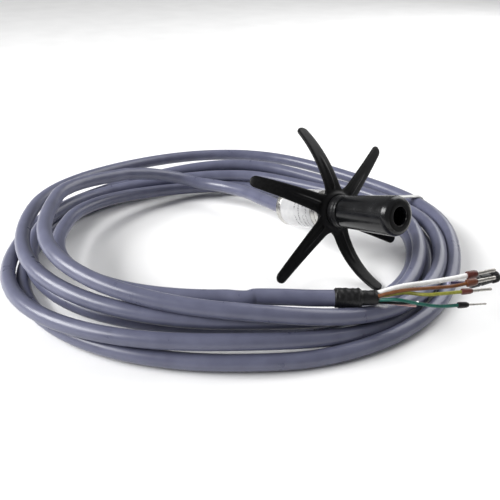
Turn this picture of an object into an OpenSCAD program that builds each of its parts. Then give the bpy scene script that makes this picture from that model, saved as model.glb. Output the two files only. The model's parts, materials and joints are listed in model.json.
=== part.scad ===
// Submersible level probe on a vented cable, with a flexible centring star,
// a screw-on nose cap and the cable wound in a coil beside it.
// Frame: +Z up, the floor at z = 0, the probe's nose heading along +X.

/* [Probe] */
// Outer diameter of the steel body
body_d = 22; // [20:0.5:26]
// Length of the steel body, from its rear face to the star's shoulder
body_l = 39.3; // [36:0.1:46]
// Whole length of the probe, from its rear face to its nose
probe_l = 89; // [86:1:100]
// Tilt of the probe's axis above the floor
pitch = 16.7; // [12:0.1:20]
// Height of the star's centre above the floor
hub_z = 36.3; // [36:0.1:44]

/* [Nose cap] */
// Diameter of the cap at its open end
cap_rear_d = 17.8; // [17:0.1:20]
// Diameter of the cap at its nose
cap_nose_d = 20.6; // [19:0.1:22]
// Diameter of the hole that lets the liquid in
port_d = 9.2; // [6:0.1:11]

/* [Centring star] */
// Radius from the probe's axis to an arm's tip
star_r = 53; // [50:0.5:58]
// Width of an arm at the hub
arm_root_w = 10.5; // [8:0.5:11.5]
// Width of an arm at its tip
arm_tip_w = 6.6; // [5:0.2:8]
// Thickness of an arm
arm_t = 1.9; // [1.4:0.1:2.6]

/* [Cable] */
// Diameter of the cable
cable_d = 8; // [6:0.5:8]
// Inner radius of the coil
coil_inner_r = 92; // [90:1:96]
// Width of the bundle of turns
coil_w = 26; // [22:1:30]
// Height of the bundle of turns
coil_h = 18; // [16:1:20]
// How much longer than wide the coil is, to each side of its centre
coil_oval = 12; // [0:1:16]

/* [Hidden] */
$fn = 64;
body_r = body_d / 2;
tube_wall = 1.8;
tube_bore_r = body_r - tube_wall;
rear_cap_l = 5.4;
edge = 1.2;
cable_r = cable_d / 2;
seal_r = cable_r + 1.9;
// Neck that carries the star, its nut and the cap
neck_r = 6.5;
neck_end = 68;
running = 0.05;
star_at = 41.9;
// Star's centre along the floor
hub_x = -2.2;
hub_l = 5;
hub_r = 12;
nut_from = star_at + hub_l / 2 + 0.1;
nut_to = 50.6;
cap_from = 51.2;
cap_cavity_from = 69;
cap_wall = 5;
cap_round = 2.6;
cap_seal_from = 60;
cap_seal_l = 1.8;
cap_seal_r = neck_r + 0.95;
housing_from = 30;
spigot_r = tube_bore_r - 0.1;
cell_from = 54;
cell_l = 6;
cell_r = 5;
// Star arms: angle around the axis, lean at the root and further lean towards the tip, in degrees.
// A positive lean is towards the nose. The lowest arm props the probe up and folds furthest.
ARMS = [[90, -13, -36], [147, -13, -32], [211, -3, 4], [276, 2, 65.5], [327, -2, -3], [30, -8, -6]];
arm_steps = 12;
// Coil: its centre and the direction of its long axis on the floor
coil_x = -60;
coil_y = -30;
coil_turn = 54;
coil_corner = 7;
// Route of the cable from inside the gland to the first turn, and from the last turn to the sleeve
function on_axis(x) = [
    hub_x + (x - star_at) * cos(pitch), 0, hub_z + (x - star_at) * sin(pitch),
];
LEAD = [
    on_axis(6), on_axis(0), on_axis(-10), [-63, 0.5, 20], [-72, 1, 19], [-86, 2, 17.5], [-99, 1, 16],
    [-110, -1.5, 15], [-119.5, -6, 14.5], [-127, -12, 15], [-133, -18.5, 17], [-136.5, -27, 20], [-139, -43, 25],
    [-139, -61, 29], [-131, -86, 27], [-118, -112, 16],
];
TAIL = [
    [6, -99, 13], [12, -92.5, 19], [18, -86, 22], [26, -75, 22.5], [34, -64.5, 22.5], [41.5, -55.5, 22.5],
    [49, -45.5, 22.5],
];
SLEEVE = [[48, -46.5, 22.5], [55, -37, 22.5], [59.5, -30, 22.5]];
sleeve_large_d = 9.6;
sleeve_small_d = 7.4;
// Routes of the conductors and the vent tube beyond the sleeve, and the filter plug with its short stem
VENT = [[58.7, -29.5, 24.2], [64.5, -20.5, 27.5], [70.5, -7, 28], [75.5, 3, 29], [79, 10, 30]];
BROWN = [[61, -31, 24.4], [67.5, -22.6, 27.6], [74, -11, 28], [79, -1.5, 28], [82.5, 5.5, 29]];
YELLOW = [[58.5, -29.4, 21.6], [65.5, -19.7, 24.2], [74.5, -14, 25.8], [80, -8, 27], [84.5, -0.5, 27.5]];
GREEN = [[61, -31.2, 22.4], [68.8, -25.6, 24.3], [75, -18, 22.5], [80, -10, 20.8], [84.5, -1.5, 20.5]];
VIOLET = [[73, 4.5, 25], [77.5, 14, 23.5]];
PLUG = [[77.5, 14, 23.5], [81.8, 25.5, 24.6], [83, 29, 25]];
wire_d = 1.7;
vent_d = 2.4;
pin_l = 9;
tie_w = 3.6;
tie_t = 1.1;
tie_at = 18;

// Places its children, drawn along +X from the rear face, on the tilted axis of the probe
module on_probe() {
    translate([hub_x, 0, hub_z])
        rotate([0, -pitch, 0])
        translate([-star_at, 0, 0])
        children();
}

module rod(from, to, r) {
    translate([from, 0, 0])
        rotate([0, 90, 0])
        cylinder(h = to - from, r = r);
}

module ring(from, to, inner, outer) {
    difference() {
        rod(from, to, outer);
        rod(from - 1, to + 1, inner);
    }
}

// Turns an outline of [distance along the probe, radius] points about the probe's axis
module turned(outline) {
    rotate([0, 90, 0])
        rotate_extrude()
        polygon([for (p = outline) [p[1], p[0]]]);
}

function unit(v) = v / norm(v);

// Smooth curve through a list of points, with a few steps between each pair
function bend(p, steps) = [
    for (i = [0:len(p) - 2])
    for (k = [0:steps - 1])
    let (a = p[max(i - 1, 0)], b = p[i], c = p[i + 1], d = p[min(i + 2, len(p) - 1)], t = k / steps)
    b + t * (c - a) / 2 + t * t * (2 * a - 5 * b + 4 * c - d) / 2 + t * t * t * (3 * b - a - 3 * c + d) / 2,
    p[len(p) - 1],
];

// Closed tube of radius r along the points p
module tube(p, r, sides = 8) {
    n = len(p);
    points = [
        for (i = [0:n - 1])
        let (
            along = unit(p[min(i + 1, n - 1)] - p[max(i - 1, 0)]),
            across = unit(cross(along, [0, 0, 1])),
            up = cross(across, along)
        )
        for (k = [0:sides - 1])
        p[i] + r * (cos(360 * k / sides) * across + sin(360 * k / sides) * up),
    ];
    sheets = [
        for (i = [0:n - 2])
        for (k = [0:sides - 1])
        let (a = i * sides + k, b = i * sides + (k + 1) % sides)
        [a, b, b + sides, a + sides],
    ];
    near_end = [for (k = [0:sides - 1]) sides - 1 - k];
    far_end = [for (k = [0:sides - 1]) (n - 1) * sides + k];
    polyhedron(points, concat([near_end], sheets, [far_end]));
}

// Straight round piece between two points
module between(a, b, r_a, r_b) {
    d = b - a;
    translate(a)
        rotate([0, acos(d[2] / norm(d)), atan2(d[1], d[0])])
        cylinder(h = norm(d), r1 = r_a, r2 = r_b);
}

module body_tube() {
    color("silver")
        on_probe()
        ring(rear_cap_l, housing_from + 6, tube_bore_r, body_r);
}

module rear_cap() {
    color("silver")
        on_probe()
        turned([
            [0, seal_r], [0, body_r - edge], [edge, body_r], [rear_cap_l - 0.05, body_r],
            [rear_cap_l - 0.05, spigot_r], [rear_cap_l + 5, spigot_r], [rear_cap_l + 5, cable_r + 0.4],
            [rear_cap_l + 3, cable_r + 0.4], [rear_cap_l + 3, seal_r],
        ]);
}

module gland_seal() {
    color("dimgray")
        on_probe()
        ring(0.4, rear_cap_l + 1.4, cable_r, seal_r);
}

module gland_washer() {
    color("silver")
        on_probe()
        ring(rear_cap_l + 1.5, rear_cap_l + 2.9, cable_r + 0.1, seal_r - 0.05);
}

module label_band() {
    color("white")
        on_probe()
        ring(5.8, 32.6, body_r, body_r + 0.2);
}

module circuit_board() {
    color("darkgreen")
        on_probe()
        translate([12, -7.5, -0.8])
        cube([17, 15, 1.6]);
}

module board_chip() {
    color("black")
        on_probe()
        translate([17, -3, 0.8])
        cube([6, 6, 1.5]);
}

module vent_line() {
    color("white")
        on_probe()
        translate([0, 0, -3])
        rod(11.5, 36, 0.9);
}

// Front of the body: a spigot in the tube, the shoulder, and the threaded neck round the cell
module sensor_housing() {
    color("silver")
        on_probe()
        turned([
            [housing_from, 5.5], [housing_from, spigot_r], [housing_from + 6.05, spigot_r],
            [housing_from + 6.05, body_r], [body_l - 0.5, body_r], [body_l, body_r - 0.5],
            [body_l, neck_r], [neck_end - 0.6, neck_r], [neck_end, neck_r - 0.6],
            [neck_end, cell_r + 0.05], [cell_from, cell_r + 0.05], [cell_from, 2.5], [37, 2.5], [37, 5.5],
        ]);
}

module housing_seal() {
    color("black")
        on_probe()
        ring(nut_to + 0.05, cap_from - 0.05, neck_r, neck_r + 1);
}

module pressure_cell() {
    color("ivory")
        on_probe()
        rod(cell_from, cell_from + cell_l, cell_r);
}

module cell_seal() {
    color("black")
        on_probe()
        ring(cell_from + cell_l, cell_from + cell_l + 1.5, 3.6, cell_r);
}

module cell_ring() {
    color("silver")
        on_probe()
        ring(cell_from + cell_l + 1.5, cell_from + cell_l + 4, 3.4, cell_r);
}

module star_hub() {
    color("black")
        on_probe()
        turned([
            [star_at - hub_l / 2, neck_r + 0.02], [star_at - hub_l / 2, hub_r - 1],
            [star_at - arm_t / 2, hub_r], [star_at + arm_t / 2, hub_r],
            [star_at + hub_l / 2, 9.4], [star_at + hub_l / 2, neck_r + 0.02],
        ]);
}

// Middle line of an arm: its lean at a length from the hub, and its point [radius, distance along the probe]
function arm_lean(arm, s) = arm[1] + arm[2] * s / (star_r - hub_r);
function arm_line(arm, ds, i) = i == 0
    ? [hub_r, star_at]
    : arm_line(arm, ds, i - 1) + ds * [cos(arm_lean(arm, (i - 0.5) * ds)), sin(arm_lean(arm, (i - 0.5) * ds))];

// Side view of an arm: the middle line thickened to both sides
function arm_side(arm, half) =
    let (ds = (star_r - hub_r) / arm_steps)
    [for (i = [0:arm_steps])
        arm_line(arm, ds, i) + half * [-sin(arm_lean(arm, i * ds)), cos(arm_lean(arm, i * ds))]];

// One flexible arm: the bent strip cut to a tapered outline with a round tip, and a rib on its front
module star_arm(arm) {
    tip = arm_line(arm, (star_r - hub_r) / arm_steps, arm_steps);
    back = arm_side(arm, -arm_t / 2);
    front = arm_side(arm, arm_t / 2);
    rib = [for (i = [0:5]) arm_side(arm, arm_t / 2 + 0.8)[i]];
    foot = [for (i = [5:-1:0]) front[i]];
    reach = tip[0] - arm_tip_w / 2;
    color("black")
        on_probe()
        rotate([arm[0] - 90, 0, 0]) {
            intersection() {
                rotate([90, 0, 0])
                    translate([0, 0, -arm_root_w])
                    linear_extrude(2 * arm_root_w)
                    polygon([for (p = concat(back, [for (i = [arm_steps:-1:0]) front[i]])) [p[1], p[0]]]);
                translate([star_at - 60, 0, 0])
                    rotate([90, 0, 90])
                    linear_extrude(120)
                    union() {
                        polygon([
                            [-arm_root_w / 2, hub_r - 2], [arm_root_w / 2, hub_r - 2],
                            [arm_tip_w / 2, reach], [-arm_tip_w / 2, reach],
                        ]);
                        translate([0, reach])
                            circle(d = arm_tip_w);
                    }
            }
            rotate([90, 0, 0])
                translate([0, 0, -0.8])
                linear_extrude(1.6)
                polygon([for (p = concat(rib, foot)) [p[1], p[0]]]);
        }
}

module star_arm_1() { star_arm(ARMS[0]); }
module star_arm_2() { star_arm(ARMS[1]); }
module star_arm_3() { star_arm(ARMS[2]); }
module star_arm_4() { star_arm(ARMS[3]); }
module star_arm_5() { star_arm(ARMS[4]); }
module star_arm_6() { star_arm(ARMS[5]); }

module star_nut() {
    color("black")
        on_probe()
        turned([
            [nut_from, neck_r + 0.02], [nut_from, 8.7], [nut_from + 0.6, 9], [nut_to - 0.6, 9],
            [nut_to, 8.7], [nut_to, neck_r + 0.02],
        ]);
}

module cap_seal() {
    color("black")
        on_probe()
        ring(cap_seal_from, cap_seal_from + cap_seal_l, neck_r + running, cap_seal_r);
}

// Nose cap: a slightly flared shell with a socket for the neck, a seal groove and a rounded nose
module nose_cap() {
    nose_r = cap_nose_d / 2;
    rounded = [
        for (a = [0:15:90])
        [probe_l - cap_round + cap_round * sin(a), nose_r - cap_round + cap_round * cos(a)],
    ];
    color("black")
        on_probe()
        turned(concat(
            [[cap_from, neck_r + running], [cap_from, cap_rear_d / 2 - 0.4], [cap_from + 0.4, cap_rear_d / 2]],
            rounded,
            [
                [probe_l, port_d / 2], [probe_l - cap_wall, port_d / 2], [probe_l - cap_wall, 7.6],
                [cap_cavity_from, 7.2], [cap_cavity_from, neck_r + running],
                [cap_seal_from + cap_seal_l + 0.1, neck_r + running],
                [cap_seal_from + cap_seal_l + 0.1, cap_seal_r + running],
                [cap_seal_from - 0.1, cap_seal_r + running], [cap_seal_from - 0.1, neck_r + running],
            ]
        ));
}

module cable_lead() {
    color("slategray")
        tube(bend(LEAD, 2), cable_r - 0.02);
}

// Outline of the bundle of turns: a rectangle with rounded corners
module coil_outline() {
    centres = [
        [coil_corner, coil_corner, 180], [coil_w - coil_corner, coil_corner, 270],
        [coil_w - coil_corner, coil_h - coil_corner, 0], [coil_corner, coil_h - coil_corner, 90],
    ];
    polygon([
        for (c = centres)
        for (a = [0:15:90])
        [coil_inner_r + c[0] + coil_corner * cos(a + c[2]), c[1] + coil_corner * sin(a + c[2])],
    ]);
}

module cable_coil() {
    color("slategray")
        translate([coil_x, coil_y, 0])
        rotate([0, 0, coil_turn])
        for (side = [0, 180])
            rotate([0, 0, side]) {
                translate([coil_oval, 0, 0])
                    rotate([0, 0, -90])
                    rotate_extrude(angle = 180)
                    coil_outline();
                translate([-coil_oval - 0.01, 0, 0])
                    rotate([90, 0, 90])
                    linear_extrude(2 * coil_oval + 0.02)
                    coil_outline();
            }
}

module cable_tail() {
    color("slategray")
        tube(bend(TAIL, 2), cable_r);
}

module sleeve_large() {
    color("black")
        between(SLEEVE[0], SLEEVE[1], sleeve_large_d / 2, sleeve_large_d / 2);
}

module sleeve_small() {
    color("black")
        between(SLEEVE[1], SLEEVE[2], sleeve_small_d / 2, sleeve_small_d / 2 - 0.4);
}

module wire(route, d, shade) {
    color(shade)
        tube(bend(route, 4), d / 2);
}

// Crimped ferrule on the end of a route: a flared plastic collar and a metal pin
module ferrule(route, collar_d, shade) {
    last = route[len(route) - 1];
    ahead = unit(last - route[len(route) - 2]);
    color(shade)
        between(last, last + 4.6 * ahead, collar_d / 2, collar_d / 2 - 0.3);
    color("silver")
        between(last + 4.5 * ahead, last + (4.6 + pin_l) * ahead, 0.75, 0.75);
}

module vent_tube() { wire(VENT, vent_d, "white"); }
module vent_ferrule() { ferrule(VENT, 3.8, "saddlebrown"); }
module wire_brown() { wire(BROWN, wire_d, "chocolate"); }
module ferrule_brown() { ferrule(BROWN, 3.6, "chocolate"); }
module wire_yellow() { wire(YELLOW, wire_d, "olivedrab"); }
module ferrule_yellow() { ferrule(YELLOW, 3.4, "saddlebrown"); }
module wire_green() { wire(GREEN, wire_d, "teal"); }
module ferrule_green() { ferrule(GREEN, 3.4, "black"); }
module wire_violet() { wire(VIOLET, 2, "indigo"); }

module filter_plug() {
    color("black")
        between(PLUG[0], PLUG[1], 2.8, 2.5);
}

module filter_cap() {
    color("black")
        between(PLUG[1], PLUG[2], 3, 2.8);
}

// Cable tie: a flat closed band round the bundle, with its head on the outside
module on_tie() {
    translate([coil_x, coil_y, 0])
        rotate([0, 0, coil_turn])
        translate([coil_oval, 0, 0])
        rotate([0, 0, tie_at])
        translate([coil_inner_r, 0, 0])
        children();
}

module tie_strap() {
    color("whitesmoke")
        on_tie()
        rotate([90, 0, 0])
        translate([0, 0, -tie_w / 2])
        linear_extrude(tie_w)
        difference() {
            translate([-tie_t, 0])
                square([coil_w + 2 * tie_t, coil_h + tie_t]);
            translate([0, tie_t])
                square([coil_w, coil_h - tie_t]);
        }
}

module tie_head() {
    color("whitesmoke")
        on_tie()
        translate([coil_w + tie_t, -3, 5])
        cube([4.2, 6, 5]);
}

body_tube();
rear_cap();
gland_seal();
gland_washer();
label_band();
circuit_board();
board_chip();
vent_line();
sensor_housing();
housing_seal();
pressure_cell();
cell_seal();
cell_ring();
star_hub();
star_arm_1();
star_arm_2();
star_arm_3();
star_arm_4();
star_arm_5();
star_arm_6();
star_nut();
cap_seal();
nose_cap();
cable_lead();
cable_coil();
cable_tail();
sleeve_large();
sleeve_small();
vent_tube();
vent_ferrule();
wire_brown();
ferrule_brown();
wire_yellow();
ferrule_yellow();
wire_green();
ferrule_green();
wire_violet();
filter_plug();
filter_cap();
tie_strap();
tie_head();
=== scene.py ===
"""Looks of a submersible level probe: steel body, black nose cap, six-armed star, and its coiled cable.

Lengths in the route and outline lists are millimetres in the part's frame, turned into metres by MM."""

import json
import math

import bmesh
import bpy
from mathutils import Matrix, Vector, noise


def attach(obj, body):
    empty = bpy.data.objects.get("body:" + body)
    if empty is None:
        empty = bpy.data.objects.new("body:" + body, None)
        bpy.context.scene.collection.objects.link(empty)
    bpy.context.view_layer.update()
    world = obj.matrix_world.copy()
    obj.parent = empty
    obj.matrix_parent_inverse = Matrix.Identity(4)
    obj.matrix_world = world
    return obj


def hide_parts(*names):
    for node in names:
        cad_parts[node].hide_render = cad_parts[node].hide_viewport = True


MM = 0.001
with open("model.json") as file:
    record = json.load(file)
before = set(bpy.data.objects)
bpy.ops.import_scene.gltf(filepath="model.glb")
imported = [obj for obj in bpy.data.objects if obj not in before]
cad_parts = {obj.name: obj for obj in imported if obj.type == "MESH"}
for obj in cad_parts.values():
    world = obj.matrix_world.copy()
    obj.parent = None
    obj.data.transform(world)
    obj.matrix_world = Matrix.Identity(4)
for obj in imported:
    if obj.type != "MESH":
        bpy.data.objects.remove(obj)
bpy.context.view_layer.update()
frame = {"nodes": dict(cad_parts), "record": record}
nodes = frame["nodes"]

# ---------------------------------------------------------------- sizes, as in the part

BODY_R = 11
BODY_L = 39.3
PROBE_L = 89
PITCH = math.radians(16.7)
STAR_AT = 41.9
HUB = Vector((-2.2, 0, 36.3))
HUB_R = 12
HUB_L = 5
TUBE_FROM = 5.4
TUBE_TO = 36
TUBE_BORE_R = 9.2
GLAND_R = 5.9
CELL_BORE_R = 5.05
LABEL_FROM = 5.8
LABEL_TO = 32.6
LABEL_R = 11.2
NECK_R = 6.5
NECK_END = 68
NUT_FROM = STAR_AT + HUB_L / 2 + 0.1
NUT_TO = 50.6
NUT_R = 9
CAP_FROM = 51.2
CAP_REAR_R = 8.9
CAP_NOSE_R = 10.3
PORT_R = 4.6
PORT_L = 5
SEAL_FROM = 59.9
SEAL_TO = 61.9
CAVITY_FROM = 69
SOCKET_R = NECK_R + 0.05
STAR_R = 53
ARM_ROOT_W = 10.5
ARM_TIP_W = 6.6
ARM_T = 1.9
# Angle round the axis, lean at the root and further lean towards the tip of each arm, in degrees
ARMS = ((30, -8, -6), (90, -13, -36), (147, -13, -32), (211, -3, 4), (276, 2, 65.5), (327, -2, -3))
CABLE_D = 8
VENT_D = 2.4
WIRE_D = 1.7
STEM_D = 2
TIE_AT = 18
TIE_W = 3.6
TIE_T = 1.0

PROBE_AXIS = Vector((math.cos(PITCH), 0, math.sin(PITCH)))
ON_PROBE = (
    Matrix.Translation(HUB * MM) @ Matrix.Rotation(-PITCH, 4, "Y") @ Matrix.Translation((-STAR_AT * MM, 0, 0))
)


def on_axis(x):
    return HUB + (x - STAR_AT) * PROBE_AXIS


# ---------------------------------------------------------------- routes, as in the part

LEAD = [
    on_axis(6), on_axis(0), on_axis(-10), (-63, 0.5, 20), (-72, 1, 19), (-86, 2, 17.5), (-99, 1, 16),
    (-110, -1.5, 15), (-119.5, -6, 14.5), (-127, -12, 15), (-133, -18.5, 17), (-136.5, -27, 20),
    (-139, -43, 25), (-139, -61, 29),
]
TAIL = [(26, -75, 22.5), (34, -64.5, 22.5), (41.5, -55.5, 22.5), (49, -45.5, 22.5)]
SLEEVE = [(48, -46.5, 22.5), (55, -37, 22.5), (59.5, -30, 22.5)]
VENT = [(58.7, -29.5, 24.2), (64.5, -20.5, 27.5), (70.5, -7, 28), (75.5, 3, 29), (79, 10, 30)]
BROWN = [(61, -31, 24.4), (67.5, -22.6, 27.6), (74, -11, 28), (79, -1.5, 28), (82.5, 5.5, 29)]
YELLOW = [(58.5, -29.4, 21.6), (65.5, -19.7, 24.2), (74.5, -14, 25.8), (80, -8, 27), (84.5, -0.5, 27.5)]
GREEN = [(61, -31.2, 22.4), (68.8, -25.6, 24.3), (75, -18, 22.5), (80, -10, 20.8), (84.5, -1.5, 20.5)]
VIOLET = [(73, 4.5, 25), (77.5, 14, 23.5)]
PLUG = [(77.5, 14, 23.5), (81.8, 25.5, 24.6), (83, 29, 25)]

# The coil: its centre, the heading of its front, and for each of its passes the radius and the height of the
# cable at the left, front, right and back of the coil. These values, the bulges below and the bends in ARMS
# were rounded from least-squares fits to the photograph.
COIL_CENTRE = Vector((-60, -30, 0))
COIL_TURN = math.radians(54)
COIL_R = (
    (103, 113, 122, 98), (127, 120, 116, 96), (118, 123, 131, 129), (120, 111, 109, 84), (117, 96, 108, 80),
    (99, 96),
)
COIL_Z = (
    (34, 26, 11, 16), (7, 14, 5, 7), (4, 5, 11, 13), (24, 19, 14, 13), (12, 5, 6, 6), (17, 22),
)
# How far the cable bulges outwards and upwards between those four places
BULGE_R = (6, 2, -10, -4)
BULGE_Z = (2, -6, -1, -1)
COIL_STEPS = 24


def smooth_line(points, steps):
    """Catmull-Rom curve through the points, with this many steps between each pair."""
    p = [Vector(q) for q in points]
    line = []
    for i in range(len(p) - 1):
        a, b, c, d = p[max(i - 1, 0)], p[i], p[i + 1], p[min(i + 2, len(p) - 1)]
        for k in range(steps):
            t = k / steps
            linear = t * (c - a) / 2
            square = t * t * (2 * a - 5 * b + 4 * c - d) / 2
            cubic = t ** 3 * (3 * b - a - 3 * c + d) / 2
            line.append(b + linear + square + cubic)
    return line + [p[-1]]


def coil_line():
    """The turns of the coil, from its left over the front to the last pass at the front."""
    places = [place for rs, zs in zip(COIL_R, COIL_Z) for place in zip(rs, zs)]
    line = []
    for i, (r, z) in enumerate(smooth_line(places, COIL_STEPS)):
        turn = math.pi + i * math.pi / 2 / COIL_STEPS
        quarter = (i // COIL_STEPS) % 4
        swell = math.sin(2 * turn) ** 2
        r += BULGE_R[quarter] * swell
        z = max(z + BULGE_Z[quarter] * swell, CABLE_D / 2)
        a = turn + COIL_TURN
        line.append(COIL_CENTRE + Vector((r * math.cos(a), r * math.sin(a), z)))
    return line


# ---------------------------------------------------------------- materials


def grained(name, dark, light, size, rough, bump=0.0, metallic=0.0, coat=0.0, stretch=(1, 1, 1), specular=0.5,
            transmission=0.0):
    """Material whose colour, roughness and relief follow a noise with features about `size` metres across."""
    made = bpy.data.materials.new(name)
    made.use_nodes = True
    tree = made.node_tree
    shader = tree.nodes["Principled BSDF"]
    shader.inputs["Metallic"].default_value = metallic
    shader.inputs["Coat Weight"].default_value = coat
    shader.inputs["Coat Roughness"].default_value = 0.08
    shader.inputs["Specular IOR Level"].default_value = specular
    shader.inputs["Transmission Weight"].default_value = transmission
    place = tree.nodes.new("ShaderNodeTexCoord")
    mapping = tree.nodes.new("ShaderNodeMapping")
    mapping.inputs["Scale"].default_value = [k / size for k in stretch]
    grain = tree.nodes.new("ShaderNodeTexNoise")
    grain.inputs["Scale"].default_value = 1
    grain.inputs["Detail"].default_value = 6
    shade = tree.nodes.new("ShaderNodeValToRGB")
    shade.color_ramp.elements[0].position = 0.3
    shade.color_ramp.elements[0].color = (*dark, 1)
    shade.color_ramp.elements[1].position = 0.7
    shade.color_ramp.elements[1].color = (*light, 1)
    gloss = tree.nodes.new("ShaderNodeMapRange")
    gloss.inputs["From Min"].default_value = 0.3
    gloss.inputs["From Max"].default_value = 0.7
    gloss.inputs["To Min"].default_value = rough[0]
    gloss.inputs["To Max"].default_value = rough[1]
    relief = tree.nodes.new("ShaderNodeBump")
    relief.inputs["Strength"].default_value = bump
    relief.inputs["Distance"].default_value = size * 0.1
    link = tree.links.new
    link(place.outputs["Object"], mapping.inputs["Vector"])
    link(mapping.outputs["Vector"], grain.inputs["Vector"])
    link(grain.outputs["Fac"], shade.inputs["Fac"])
    link(grain.outputs["Fac"], gloss.inputs["Value"])
    link(grain.outputs["Fac"], relief.inputs["Height"])
    link(shade.outputs["Color"], shader.inputs["Base Color"])
    link(gloss.outputs["Result"], shader.inputs["Roughness"])
    if bump:
        link(relief.outputs["Normal"], shader.inputs["Normal"])
    return made


STEEL = grained("turned_steel", (0.42, 0.41, 0.39), (0.66, 0.65, 0.62), 0.0016, (0.2, 0.34), 0.25, 1.0,
                stretch=(14, 1, 1))
RUBBER = grained("star_rubber", (0.0015, 0.0015, 0.0017), (0.004, 0.004, 0.0045), 0.0012, (0.34, 0.5), 0.3,
                 specular=0.16)
SEAL = grained("seal_rubber", (0.006, 0.006, 0.006), (0.02, 0.02, 0.02), 0.0008, (0.5, 0.7), 0.3)
CAP = grained("cap_plastic", (0.002, 0.0021, 0.0026), (0.005, 0.0053, 0.0063), 0.004, (0.2, 0.28), 0.03,
              specular=0.42)
# The nose's flat face is the same black plastic as the cap. Its colour is painted darker than the cap as
# painted shade; its rougher, less glossy finish is its own.
CAP_FACE_PAINTED_SHADE = grained("cap_face_painted_shade", (0.001, 0.001, 0.0012), (0.0028, 0.0028, 0.003), 0.0006, (0.4, 0.55), 0.3,
                   specular=0.14)
MOULDING = grained("black_moulding", (0.003, 0.003, 0.0034), (0.008, 0.008, 0.009), 0.0007, (0.3, 0.45), 0.3,
                   specular=0.3)
JACKET = grained("cable_jacket", (0.098, 0.103, 0.158), (0.125, 0.131, 0.196), 0.009, (0.27, 0.36), 0.02)
SHRINK = grained("shrink_sleeve", (0.004, 0.004, 0.0045), (0.01, 0.01, 0.011), 0.0018, (0.34, 0.5), 0.25,
                 specular=0.3)
WHITE = grained("white_tube", (0.7, 0.7, 0.69), (0.86, 0.86, 0.85), 0.002, (0.3, 0.45), 0.1)
CERAMIC = grained("ceramic", (0.72, 0.69, 0.6), (0.84, 0.81, 0.74), 0.0006, (0.5, 0.7), 0.2)
BOARD = grained("board", (0.01, 0.08, 0.03), (0.02, 0.14, 0.05), 0.001, (0.25, 0.4), 0.2)
COLLAR_RED = grained("collar_red", (0.055, 0.01, 0.007), (0.11, 0.024, 0.015), 0.0012, (0.3, 0.45), 0.1)
COLLAR_ORANGE = grained("collar_orange", (0.08, 0.023, 0.01), (0.14, 0.043, 0.018), 0.0012, (0.3, 0.45), 0.1)
BROWN_SKIN = grained("wire_brown", (0.1, 0.031, 0.007), (0.17, 0.058, 0.014), 0.0015, (0.3, 0.45), 0.1)
YELLOW_SKIN = grained("wire_yellow", (0.15, 0.15, 0.012), (0.25, 0.25, 0.035), 0.0015, (0.3, 0.45), 0.1)
GREEN_SKIN = grained("wire_green", (0.002, 0.06, 0.045), (0.006, 0.11, 0.085), 0.0015, (0.3, 0.45), 0.1)
VIOLET_SKIN = grained("wire_violet", (0.025, 0.015, 0.045), (0.06, 0.035, 0.1), 0.0015, (0.3, 0.45), 0.1)
STEM_END = grained("stem_end", (0.3, 0.28, 0.42), (0.46, 0.44, 0.58), 0.0015, (0.3, 0.45), 0.1)
GREY_SKIN = grained("wire_grey", (0.25, 0.25, 0.26), (0.42, 0.42, 0.43), 0.0015, (0.3, 0.45), 0.1)
PINK_SKIN = grained("wire_pink", (0.5, 0.28, 0.27), (0.66, 0.42, 0.4), 0.0015, (0.3, 0.45), 0.1)
TINNED = grained("tinned_pin", (0.3, 0.29, 0.27), (0.5, 0.48, 0.45), 0.0015, (0.3, 0.42), 0.15, 1.0)
NYLON = grained("tie_nylon", (0.72, 0.72, 0.7), (0.88, 0.88, 0.87), 0.002, (0.3, 0.45), 0.1,
                transmission=0.35)

SLOT_LOOKS = {
    "steel": STEEL, "seal_rubber": SEAL, "label_film": WHITE, "board": BOARD,
    "black_moulding": MOULDING, "white_tube": WHITE, "ceramic": CERAMIC, "star_rubber": RUBBER,
    "cap_plastic": CAP, "cable_jacket": JACKET, "shrink_sleeve": SHRINK, "collar_red": COLLAR_RED,
    "collar_orange": COLLAR_ORANGE, "wire_brown": BROWN_SKIN, "wire_yellow": YELLOW_SKIN,
    "wire_green": GREEN_SKIN, "wire_violet": VIOLET_SKIN, "tie_nylon": NYLON,
}
for part in frame["record"]["subparts"]:
    look = SLOT_LOOKS[part["material_slot"]]
    nodes[part["node"]].data.materials.clear()
    nodes[part["node"]].data.materials.append(look)


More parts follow.
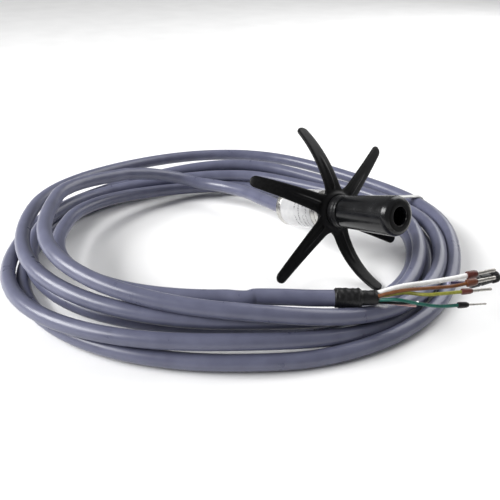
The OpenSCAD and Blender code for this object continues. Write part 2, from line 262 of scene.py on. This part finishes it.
def printed_label():
    """White film with four rows of small, meaningless dark marks round it, under a clear glossy film.

    The UV map is laid out in millimetres: along the probe, then round it."""
    made = grained("label_film", (0.44, 0.44, 0.45), (0.52, 0.52, 0.52), 0.003, (0.3, 0.4), 0.05, coat=0.8)
    tree = made.node_tree
    shader = tree.nodes["Principled BSDF"]
    link = tree.links.new

    def maths(operation, a, b):
        node = tree.nodes.new("ShaderNodeMath")
        node.operation = operation
        for socket, value in zip(node.inputs, (a, b)):
            if isinstance(value, (int, float)):
                socket.default_value = value
            else:
                link(value, socket)
        return node.outputs[0]

    uv = tree.nodes.new("ShaderNodeUVMap")
    split = tree.nodes.new("ShaderNodeSeparateXYZ")
    link(uv.outputs["UV"], split.inputs[0])
    along, around = split.outputs["X"], split.outputs["Y"]
    mapping = tree.nodes.new("ShaderNodeMapping")
    mapping.inputs["Scale"].default_value = (2.4, 2.1, 1)
    link(uv.outputs["UV"], mapping.inputs["Vector"])
    specks = tree.nodes.new("ShaderNodeTexVoronoi")
    specks.inputs["Scale"].default_value = 1
    link(mapping.outputs["Vector"], specks.inputs["Vector"])
    letters = maths("LESS_THAN", specks.outputs["Distance"], 0.5)
    rows = None
    for at, half, shift in ((19, 0.55, 0), (22.5, 0.55, 31), (26, 0.8, 57), (29, 0.45, 83)):
        near = maths("LESS_THAN", maths("ABSOLUTE", maths("SUBTRACT", along, at), 0), half)
        words = tree.nodes.new("ShaderNodeTexNoise")
        words.noise_dimensions = "1D"
        words.inputs["Scale"].default_value = 0.16
        words.inputs["Detail"].default_value = 0
        link(maths("ADD", around, shift), words.inputs["W"])
        row = maths("MULTIPLY", near, maths("GREATER_THAN", words.outputs["Fac"], 0.38))
        rows = row if rows is None else maths("ADD", rows, row)
    ink = maths("MULTIPLY", letters, rows)
    mix = tree.nodes.new("ShaderNodeMix")
    mix.data_type = "RGBA"
    base = shader.inputs["Base Color"].links[0].from_socket
    link(ink, mix.inputs["Factor"])
    link(base, mix.inputs[6])
    mix.inputs[7].default_value = (0.03, 0.03, 0.035, 1)
    link(mix.outputs[2], shader.inputs["Base Color"])
    return made


LABEL = printed_label()

# ---------------------------------------------------------------- mesh helpers


def finished(name, mesh, look, body="probe", where=None, sharp=38):
    """Turns a bmesh into a smooth-shaded piece that rides on a body."""
    bmesh.ops.recalc_face_normals(mesh, faces=mesh.faces)
    data = bpy.data.meshes.new(name)
    mesh.to_mesh(data)
    mesh.free()
    data.materials.append(look)
    data.shade_smooth()
    data.set_sharp_from_angle(angle=math.radians(sharp))
    made = bpy.data.objects.new(name, data)
    bpy.context.scene.collection.objects.link(made)
    if where is not None:
        made.matrix_world = where
    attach(made, body)
    return made


def rounded(outline, radius, steps=4):
    """A closed outline with each corner replaced by an arc-like curve of at most this radius."""
    p = [Vector(q) for q in outline]
    soft = []
    for i, corner in enumerate(p):
        before, after = p[i - 1], p[(i + 1) % len(p)]
        cut = min(radius, (before - corner).length * 0.45, (after - corner).length * 0.45)
        a = corner + (before - corner).normalized() * cut
        b = corner + (after - corner).normalized() * cut
        for k in range(steps + 1):
            t = k / steps
            soft.append((1 - t) ** 2 * a + 2 * t * (1 - t) * corner + t * t * b)
    return soft


def turned(outline, rounds=128, ribs=0, rib_depth=0.0, rib_from=1e9):
    """Solid of revolution about X, in millimetres, from a closed outline of (distance along X, radius)."""
    mesh = bmesh.new()
    rings = []
    for k in range(rounds):
        a = 2 * math.pi * k / rounds
        ring = []
        for x, r in outline:
            if r > rib_from:
                r += rib_depth * (abs(math.cos(ribs * a / 2)) - 1)
            ring.append(mesh.verts.new((x * MM, r * math.cos(a) * MM, r * math.sin(a) * MM)))
        rings.append(ring)
    n = len(outline)
    for k in range(rounds):
        here, there = rings[k], rings[(k + 1) % rounds]
        for i in range(n):
            mesh.faces.new((here[i], here[(i + 1) % n], there[(i + 1) % n], there[i]))
    bmesh.ops.remove_doubles(mesh, verts=mesh.verts, dist=1e-6)
    return mesh


def aimed(start, end):
    """Matrix that puts a piece drawn along X at start, pointing to end, both in millimetres."""
    along = (Vector(end) - Vector(start)).normalized()
    return Matrix.Translation(Vector(start) * MM) @ along.to_track_quat("X", "Z").to_matrix().to_4x4()


def cord_curve(name, line, diameter, look):
    """A cord as a curve of one open spline."""
    data = bpy.data.curves.new(name, "CURVE")
    data.dimensions = "3D"
    data.bevel_depth = diameter / 2 * MM
    data.bevel_resolution = 6
    data.use_fill_caps = True
    spline = data.splines.new("POLY")
    spline.points.add(len(line) - 1)
    for point, at in zip(spline.points, line):
        point.co = (*(Vector(at) * MM), 1)
    spline.use_smooth = True
    data.materials.append(look)
    made = bpy.data.objects.new(name, data)
    bpy.context.scene.collection.objects.link(made)
    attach(made, "probe")
    return made


def swept(line, radius, sides=48):
    """Closed tube along a line, in millimetres; its radius depends on the share of length and the angle."""
    mesh = bmesh.new()
    line = [Vector(q) for q in line]
    rings = []
    for i, at in enumerate(line):
        along = (line[min(i + 1, len(line) - 1)] - line[max(i - 1, 0)]).normalized()
        across = along.cross(Vector((0, 0, 1))).normalized()
        up = across.cross(along)
        ring = []
        for k in range(sides):
            a = 2 * math.pi * k / sides
            r = radius(i / (len(line) - 1), a)
            ring.append(mesh.verts.new((at + r * (math.cos(a) * across + math.sin(a) * up)) * MM))
        rings.append(ring)
    for here, there in zip(rings, rings[1:]):
        for k in range(sides):
            mesh.faces.new((here[k], here[(k + 1) % sides], there[(k + 1) % sides], there[k]))
    mesh.faces.new(rings[0])
    mesh.faces.new(rings[-1])
    return mesh


# ---------------------------------------------------------------- camera

camera = bpy.data.objects.new("camera", bpy.data.cameras.new("camera"))
camera.location = (0.2271, -0.2252, 0.1808)
camera.rotation_euler = Vector((-0.7143, 0.5190, -0.4695)).to_track_quat("-Z", "Y").to_euler()
camera.data.lens = 45.43
camera.data.sensor_width = 36
camera.data.clip_start = 0.01
bpy.context.scene.collection.objects.link(camera)
bpy.context.scene.camera = camera

# ---------------------------------------------------------------- cable and its wires

lead = smooth_line(LEAD, 6)[6:-1]
coil = coil_line()
joined = smooth_line([LEAD[-2], LEAD[-1], coil[0], coil[12]], 8)[8:16]
tail = smooth_line([coil[-12], coil[-1], *TAIL], 8)[9:]
cable = cord_curve("cable", lead + joined + coil + tail, CABLE_D, JACKET)
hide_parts("cable_lead", "cable_coil", "cable_tail")


def sleeve_radius(share, a):
    """Two lengths of shrink tube, one over the other, drawn down and wrinkled towards the wires."""
    place = Vector((math.cos(a) * 1.4, math.sin(a) * 1.4, share * 9))
    crease = 0.22 * noise.noise(place) + 0.1 * noise.noise(place * 3)
    if share < 0.04:
        return 4.2 + share * 12 + crease * 0.3
    if share < 0.5:
        return 4.75 + 0.12 * math.sin(share * 55) + crease
    if share < 0.56:
        return 4.7 - (share - 0.5) / 0.06 * 1.15 + crease
    return 3.55 + crease - 0.3 * max(0, share - 0.9) / 0.1


sleeve = finished(
    "shrink_sleeve", swept(smooth_line(SLEEVE, 28), sleeve_radius), SHRINK, sharp=60
)
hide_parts("sleeve_large", "sleeve_small")


def ferrule(name, route, collar_r, pin_r, look, node):
    """Crimped ferrule on the end of a wire: a flared plastic collar and a tin-plated pin with crimp marks."""
    end, ahead = Vector(route[-1]), (Vector(route[-1]) - Vector(route[-2])).normalized()
    at = aimed(end, end + ahead)
    collar = finished(
        name + "_collar",
        turned(rounded([
            (-0.7, 0.5), (-0.7, collar_r - 0.1), (0.3, collar_r), (3.4, collar_r - 0.12),
            (4.6, collar_r - 0.55), (4.6, 0.5),
        ], 0.3), 40),
        look, where=at,
    )
    pin_outline = [(4.2, 0.1), (4.2, pin_r)]
    for k in range(3):
        pin_outline += [(7.4 + 1.6 * k, pin_r), (7.7 + 1.6 * k, pin_r - 0.09), (8.5 + 1.6 * k, pin_r - 0.09)]
    pin_outline += [(12.9, pin_r), (13.5, pin_r - 0.2), (13.6, 0.1)]
    pin = finished(name + "_pin", turned(pin_outline, 24), TINNED, where=at)
    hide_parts(node)
    return [collar, pin]


def conductor(name, route, diameter, look, node, pieces):
    """One wire or tube from the sleeve's end, drawn as a curve; the pieces it is given are not used."""
    line = smooth_line(route, 10)
    wire = cord_curve(name, line, diameter, look)
    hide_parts(node)


def stem_and_filter():
    """Short violet stem with a pale end, and the black filter plug with its ribbed cap."""
    stem = cord_curve("filter_stem", smooth_line(VIOLET, 10), STEM_D, VIOLET_SKIN)
    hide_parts("wire_violet")
    start, end = VIOLET
    rim = finished(
        "stem_rim",
        turned(rounded([(-0.5, 0.2), (-0.5, 1.08), (0.5, 1.08), (0.5, 0.2)], 0.15), 32),
        STEM_END, where=aimed(start, end),
    )
    plug = finished(
        "plug_body",
        turned(rounded([
            (0, 0.6), (0, 2.1), (1.2, 2.8), (5, 2.85), (5.3, 2.55), (6.2, 2.55), (6.5, 2.8), (11.4, 2.5),
            (12.3, 1.9), (12.3, 0.6),
        ], 0.35), 64),
        MOULDING, where=aimed(PLUG[0], PLUG[1]),
    )
    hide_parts("filter_plug")
    cap = finished(
        "plug_cap",
        turned(rounded([
            (-0.2, 0.4), (-0.2, 2.7), (0.5, 3), (2.9, 2.9), (3.7, 2.3), (3.7, 0.4),
        ], 0.35), 144, ribs=18, rib_depth=0.35, rib_from=2.5),
        MOULDING, where=aimed(PLUG[1], PLUG[2]),
    )
    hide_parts("filter_cap")
    return [stem, rim, plug, cap]


filter_pieces = stem_and_filter()


def offcuts():
    """Unused conductors cut short where they leave the sleeve."""
    cut = []
    for name, route, d, slot, look in (
        ("black_offcut", [(60, -30.4, 20.4), (64.5, -26, 20.6), (69.5, -22.5, 21.6), (73.5, -19.5, 23.2)],
         1.3, "black_moulding", MOULDING),
        ("black_offcut_core", [(73.5, -19.5, 23.2), (74.6, -18.6, 23.7)], 0.8, "white_tube", WHITE),
        ("pink_offcut", [(59.2, -29.6, 19.9), (65, -23.5, 19.4), (70.5, -19.5, 19.8), (73, -18, 20.3)], 1.1,
         "collar_red", PINK_SKIN),
        ("grey_offcut_1", [(60.9, -31.2, 19.9), (63.2, -29.4, 19.6), (64.6, -28, 19.4)], 1.4,
         "tie_nylon", GREY_SKIN),
        ("grey_offcut_2", [(61.2, -31, 23), (63.6, -28.6, 23.6), (64.6, -27.4, 23.8)], 1.2,
         "tie_nylon", GREY_SKIN),
    ):
        cut.append(cord_curve(name, smooth_line(route, 6), d, look))
    return cut


conductor("vent_line_end", VENT, VENT_D, WHITE, "vent_tube",
          ferrule("vent", VENT, 2.0, 0.95, COLLAR_RED, "vent_ferrule") + filter_pieces)
conductor("brown_wire", BROWN, WIRE_D, BROWN_SKIN, "wire_brown",
          ferrule("brown", BROWN, 1.9, 0.95, COLLAR_ORANGE, "ferrule_brown"))
conductor("yellow_wire", YELLOW, WIRE_D, YELLOW_SKIN, "wire_yellow",
          ferrule("yellow", YELLOW, 1.5, 0.75, COLLAR_RED, "ferrule_yellow"))
conductor("green_wire", GREEN, WIRE_D, GREEN_SKIN, "wire_green",
          ferrule("green", GREEN, 1.5, 0.5, MOULDING, "ferrule_green"))


def bend(a, b, c):
    """Positive where the way from a over b to c turns left."""
    return (b[0] - a[0]) * (c[1] - a[1]) - (b[1] - a[1]) * (c[0] - a[0])


def tie_pieces():
    """Cable tie: a thin band drawn tight round the strands, with its head on the outside."""
    heading = math.radians(TIE_AT) + COIL_TURN
    out = Vector((math.cos(heading), math.sin(heading), 0))
    side = Vector((-out.y, out.x, 0))
    strands = []
    for a, b in zip(coil, coil[1:]):
        da, db = (a - COIL_CENTRE).dot(side), (b - COIL_CENTRE).dot(side)
        if da < 0 <= db and (a - COIL_CENTRE).dot(out) > 0:
            mid = a.lerp(b, da / (da - db))
            strands.append(((mid - COIL_CENTRE).dot(out), mid.z))
    reach = CABLE_D / 2 + 0.15
    ring = [
        (r + reach * math.cos(k * math.pi / 18), z + reach * math.sin(k * math.pi / 18))
        for r, z in strands for k in range(36)
    ]
    hull = []
    for half in (sorted(ring), sorted(ring, reverse=True)):
        part = []
        for p in half:
            while len(part) > 1 and bend(part[-2], part[-1], p) <= 0:
                part.pop()
            part.append(p)
        hull += part[:-1]
    mesh = bmesh.new()
    section = rounded([(0, -TIE_W / 2), (TIE_T, -TIE_W / 2), (TIE_T, TIE_W / 2), (0, TIE_W / 2)], 0.3, 2)
    loops = []
    n = len(hull)
    for i, (r, z) in enumerate(hull):
        before, after = Vector(hull[i - 1]), Vector(hull[(i + 1) % n])
        along = (after - before).normalized()
        normal = Vector((along.y, -along.x))
        loop = []
        for h, w in section:
            p = Vector((r, max(z, 0.3))) + normal * h
            at = COIL_CENTRE + out * p.x + side * w + Vector((0, 0, max(p.y, 0.05)))
            loop.append(mesh.verts.new(at * MM))
        loops.append(loop)
    for i in range(n):
        here, there = loops[i], loops[(i + 1) % n]
        for k in range(len(section)):
            j = (k + 1) % len(section)
            mesh.faces.new((here[k], here[j], there[j], there[k]))
    strap = finished("tie_band", mesh, NYLON)
    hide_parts("tie_strap")
    outer = max(hull)
    mesh = bmesh.new()
    bmesh.ops.create_cube(mesh, size=1)
    bmesh.ops.scale(mesh, verts=mesh.verts, vec=(0.0042, 0.006, 0.005))
    bmesh.ops.bevel(mesh, geom=mesh.edges[:], offset=0.0008, segments=3, affect="EDGES")
    centre = COIL_CENTRE + out * (outer[0] + 1.9) + Vector((0, 0, 9))
    basis = Matrix((out, side, Vector((0, 0, 1)))).transposed().to_4x4()
    head = finished("tie_lock", mesh, NYLON, where=Matrix.Translation(centre * MM) @ basis)
    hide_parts("tie_head")
    return [strap, head]


tie_pieces()
offcuts()

# ---------------------------------------------------------------- probe


def probe_piece(name, outline, slot, look, node, body="probe", radius=0.3, **options):
    made = finished(name, turned(rounded(outline, radius), **options), look, body, ON_PROBE)
    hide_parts(node)
    return made


probe_piece("rear_collar", [
    (0, GLAND_R), (0, BODY_R - 1.4), (1.3, BODY_R), (5.35, BODY_R), (5.35, 9.1), (10.4, 9.1), (10.4, 4.4),
    (8.4, 4.4), (8.4, GLAND_R),
], "steel", STEEL, "rear_cap")
probe_piece("body_skin", [
    (TUBE_FROM, TUBE_BORE_R), (TUBE_FROM, BODY_R), (TUBE_TO, BODY_R), (TUBE_TO, TUBE_BORE_R),
], "steel", STEEL, "body_tube", radius=0.12)
probe_piece("probe_front", [
    (30, 5.5), (30, 9.1), (36.05, 9.1), (36.05, BODY_R), (BODY_L, BODY_R), (BODY_L, NECK_R),
    (NECK_END, NECK_R), (NECK_END, CELL_BORE_R), (54, CELL_BORE_R), (54, 2.5), (37, 2.5), (37, 5.5),
], "steel", STEEL, "sensor_housing", radius=0.5)

label_outline = [
    (LABEL_FROM, BODY_R - 0.1), (LABEL_FROM, LABEL_R), (LABEL_TO, LABEL_R), (LABEL_TO, BODY_R - 0.1),
]
label = finished("label", turned(rounded(label_outline, 0.08, 2), 160), LABEL, where=ON_PROBE)
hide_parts("label_band")
layer = label.data.uv_layers.new(name="round")
for face in label.data.polygons:
    for corner in face.loop_indices:
        x, y, z = label.data.vertices[label.data.loops[corner].vertex_index].co / MM
        a = math.atan2(z, y) % (2 * math.pi)
        middle = math.atan2(face.center.z, face.center.y) % (2 * math.pi)
        if a - middle > math.pi:
            a -= 2 * math.pi
        if middle - a > math.pi:
            a += 2 * math.pi
        layer.data[corner].uv = (x, a * LABEL_R)

probe_piece("grip_nut", [
    (NUT_FROM, NECK_R), (NUT_FROM, NUT_R - 0.2), (NUT_FROM + 0.9, NUT_R), (47.6, NUT_R), (48, NUT_R - 0.4),
    (48.4, NUT_R - 0.4), (48.8, NUT_R), (NUT_TO - 0.6, NUT_R), (NUT_TO, NUT_R - 0.4), (NUT_TO, NECK_R),
], "cap_plastic", MOULDING, "star_nut", ribs=30, rib_depth=0.12, rib_from=NUT_R - 0.2)
cap = probe_piece("nose_shell", [
    (CAP_FROM, SOCKET_R), (CAP_FROM, CAP_REAR_R - 0.5), (CAP_FROM + 0.6, CAP_REAR_R),
    (PROBE_L - 3.1, CAP_NOSE_R), (PROBE_L - 0.9, CAP_NOSE_R - 0.9), (PROBE_L, CAP_NOSE_R - 3.1),
    (PROBE_L, PORT_R), (PROBE_L - PORT_L, PORT_R), (PROBE_L - PORT_L, 7.6), (CAVITY_FROM, 7.2),
    (CAVITY_FROM, SOCKET_R), (SEAL_TO, SOCKET_R), (SEAL_TO, 7.5), (SEAL_FROM, 7.5), (SEAL_FROM, SOCKET_R),
], "cap_plastic", CAP, "nose_cap", "cap", 0.9, rounds=160)
# The flat nose face takes the darker copy of the cap plastic: painted shade on the face, with a rougher, less
# glossy finish.
cap.data.materials.append(CAP_FACE_PAINTED_SHADE)
for face in cap.data.polygons:
    if face.center.x > (PROBE_L - 0.25) * MM:
        face.material_index = 1

# ---------------------------------------------------------------- centring star


def arm_lean(root, further, s):
    """Lean of an arm's middle line at a distance from the hub, in radians, easing in over its first 4 mm."""
    return math.radians(1.05 * root * min(s / 4, 1) + further * s / (STAR_R - HUB_R))


def arm_place(root, further, a):
    """Radius, distance along the probe and lean of the middle line at a length from the axis."""
    r, x, s, step = min(a, HUB_R), STAR_AT, 0.0, 0.25
    while s < a - HUB_R - 1e-9:
        d = min(step, a - HUB_R - s)
        lean = arm_lean(root, further, s + d / 2)
        r += d * math.cos(lean)
        x += d * math.sin(lean)
        s += d
    return r, x, arm_lean(root, further, max(0, a - HUB_R))


def star_mesh():
    """The star as one moulding: a thick hub and six tapered arms with round edges and tips and a rib each."""
    mesh = bmesh.new()
    shares = [0, 0.07, 0.13, 0.2, 0.3, 0.5, 0.7, 0.84, 0.93, 0.98, 1]
    shares = [-s for s in reversed(shares[1:])] + shares
    tip_r = ARM_TIP_W / 2
    straight_to = STAR_R - tip_r
    hub_profile = (
        (SOCKET_R, HUB_L), (8, HUB_L), (9.2, HUB_L), (9.8, HUB_L - 0.4), (10.4, 3.2), (11.2, 2.3),
        (HUB_R, ARM_T),
    )
    for number, (turn, root, further) in enumerate(ARMS):
        wedge = [math.radians((ARMS[(number + k) % 6][0] - turn + 180) % 360 - 180) / 2 for k in (-1, 1)]
        stations = []
        for r, t in hub_profile:
            stations.append(("hub", r, t))
        for a, extra in ((12.9, 0.15), (13.6, 0.05)):
            stations.append(("arm", a, (ARM_ROOT_W / 2 + extra, ARM_T)))
        steps = 22
        for k in range(steps + 1):
            a = 14.5 + (straight_to - 14.5) * k / steps
            half = ARM_ROOT_W / 2 + (tip_r - ARM_ROOT_W / 2) * (a - HUB_R) / (straight_to - HUB_R)
            stations.append(("arm", a, (half, ARM_T)))
        for k in range(1, 9):
            bend = math.radians(90 * k / 8)
            half = max(tip_r * math.cos(bend), 0.01)
            thin = ARM_T * max(math.cos(bend), 0.02) ** 0.3
            stations.append(("arm", straight_to + tip_r * math.sin(bend), (half, thin)))
        sheets = []
        spin = Matrix.Rotation(math.radians(turn - 90), 4, "X")
        for kind, a, size in stations:
            top, bottom = [], []
            for v in shares:
                if kind == "hub":
                    around = abs(v) * wedge[v > 0]
                    r, y, x = a * math.cos(around), a * math.sin(around), STAR_AT
                    front, back = size / 2, -size / 2
                    lean = 0
                else:
                    half, thick = size
                    r, x, lean = arm_place(root, further, a)
                    y = v * half
                    edge = (1 - abs(v) ** 7) ** 0.5
                    fade = max(0, min(1, (a - 12) / 2)) * max(0, min(1, (32 - a) / 12))
                    rib = 0.8 * fade * math.exp(-((y / 0.75) ** 4))
                    front, back = thick / 2 * edge + rib, -thick / 2 * edge
                for side, h in ((top, front), (bottom, back)):
                    p = Vector((x + h * math.cos(lean), -y, r - h * math.sin(lean)))
                    side.append(mesh.verts.new(ON_PROBE @ (spin @ p * MM)))
            sheets.append((top, bottom))
        for (top_a, bottom_a), (top_b, bottom_b) in zip(sheets, sheets[1:]):
            for k in range(len(shares) - 1):
                mesh.faces.new((top_a[k], top_a[k + 1], top_b[k + 1], top_b[k]))
                mesh.faces.new((bottom_a[k], bottom_b[k], bottom_b[k + 1], bottom_a[k + 1]))
        last_hub, first_arm = sheets[6], sheets[7]
        for k in (0, -1):
            mesh.faces.new((last_hub[0][k], last_hub[1][k], first_arm[1][k], first_arm[0][k]))
        inner_top, inner_bottom = sheets[0]
        for k in range(len(shares) - 1):
            mesh.faces.new((inner_top[k], inner_bottom[k], inner_bottom[k + 1], inner_top[k + 1]))
    return mesh


star_bm = star_mesh()
bmesh.ops.remove_doubles(star_bm, verts=star_bm.verts, dist=2e-5)
bmesh.ops.dissolve_degenerate(star_bm, edges=star_bm.edges, dist=1e-6)
star = finished("centring_star", star_bm, RUBBER, sharp=50)
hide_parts("star_hub", *(f"star_arm_{k}" for k in range(1, 7)))

# ---------------------------------------------------------------- floor and light

floor_mesh = bmesh.new()
bmesh.ops.create_grid(floor_mesh, x_segments=1, y_segments=1, size=4)
floor_data = bpy.data.meshes.new("floor")
floor_mesh.to_mesh(floor_data)
floor_mesh.free()
floor_data.materials.append(grained("floor_paint", (0.86, 0.86, 0.86), (0.9, 0.9, 0.9), 0.05, (0.7, 0.85)))
floor = bpy.data.objects.new("floor", floor_data)
floor.location = (0, 0, -0.0002)
bpy.context.scene.collection.objects.link(floor)

world = bpy.data.worlds.new("studio")
world.use_nodes = True
world.node_tree.nodes["Background"].inputs["Color"].default_value = (1, 1, 1, 1)
world.node_tree.nodes["Background"].inputs["Strength"].default_value = 0.26
bpy.context.scene.world = world
bpy.context.scene.view_settings.view_transform = "Standard"


def softbox(name, at, size, power):
    """Large square light aimed at the middle of the object."""
    data = bpy.data.lights.new(name, "AREA")
    data.size = size
    data.energy = power
    lamp = bpy.data.objects.new(name, data)
    lamp.location = at
    lamp.rotation_euler = (Vector((-0.03, -0.03, 0.02)) - Vector(at)).to_track_quat("-Z", "Y").to_euler()
    bpy.context.scene.collection.objects.link(lamp)


softbox("key", (-0.5, -0.75, 0.55), 0.45, 9)
softbox("rim", (-0.1, 0.8, 0.65), 0.9, 8)
sun = bpy.data.objects.new("sun", bpy.data.lights.new("sun", "SUN"))
sun.data.energy = 1.9
sun.data.angle = math.radians(25)
sun.rotation_euler = Vector((0.165, 0.993, -0.8)).to_track_quat("-Z", "Y").to_euler()
bpy.context.scene.collection.objects.link(sun)
